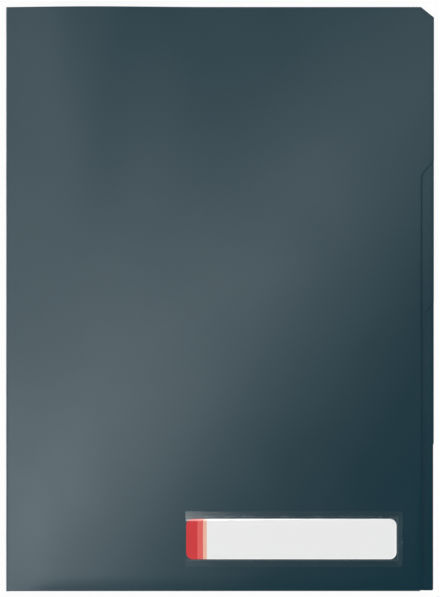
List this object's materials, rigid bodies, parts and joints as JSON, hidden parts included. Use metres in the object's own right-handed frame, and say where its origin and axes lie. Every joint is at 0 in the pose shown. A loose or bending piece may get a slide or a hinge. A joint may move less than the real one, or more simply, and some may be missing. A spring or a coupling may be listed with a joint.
{
  "type": "tabbed partition folder",
  "caption": "Flat A4 plastic folder with nested leaves welded at the spine and folded at the foot, stepped index tabs on the open side, and a clear pocket holding a label card.",
  "frame": {"origin": "under the middle of the closed folder, on the surface that its back cover lies on", "axes": "+Z out of the front cover, +Y up the page from the folded bottom edge to the open top edge, +X from the welded spine to the index tabs"},
  "size_m": [0.227, 0.31, 0.004],
  "materials": {
    "sheet": "slate blue-grey polypropylene sheet with a fine embossed satin grain",
    "seam": "melted and smoothed polypropylene along the trim weld",
    "film": "clear glossy polypropylene film",
    "card": "uncoated white card, printed with plain warm stripes at one end"
  },
  "bodies": {
    "covers": {"back_cover": "sheet", "outer_fold": "sheet", "divider_fold": "sheet", "spine_seam": "seam", "rear_divider": "sheet", "front_divider": "sheet", "front_cover": "sheet", "label_pocket": "film"},
    "rear_divider_leaf": {"rear_divider_corner": "sheet", "front_divider_bend": "sheet", "front_cover_bend_1": "sheet"},
    "front_divider_leaf": {"front_divider_corner": "sheet", "front_cover_bend_2": "sheet"},
    "front_cover_leaf": {"front_cover_corner": "sheet"},
    "label": {"label_card": "card"}
  },
  "joints": [
    {"name": "rear_divider_lift", "type": "hinge", "parent": "covers", "child": "rear_divider_leaf", "pos_m": [-0.0735, 0.155, 0.00515], "axis": [0.5765, -0.817, -0.0094], "range_deg": [0, 40], "stiffness_Nm_per_rad": 0.004},
    {"name": "front_divider_lift", "type": "hinge", "parent": "rear_divider_leaf", "child": "front_divider_leaf", "pos_m": [-0.04902, 0.155, 0.00465], "axis": [0.5765, -0.817, -0.009], "range_deg": [0, 40], "stiffness_Nm_per_rad": 0.004},
    {"name": "front_cover_lift", "type": "hinge", "parent": "front_divider_leaf", "child": "front_cover_leaf", "pos_m": [-0.02454, 0.155, 0.0032], "axis": [0.5766, -0.817, -0.0046], "range_deg": [0, 40], "stiffness_Nm_per_rad": 0.004},
    {"name": "label_slide", "type": "slide", "parent": "covers", "child": "label", "axis": [-1, 0, 0], "range_m": [0, 0.112]}
  ]
}
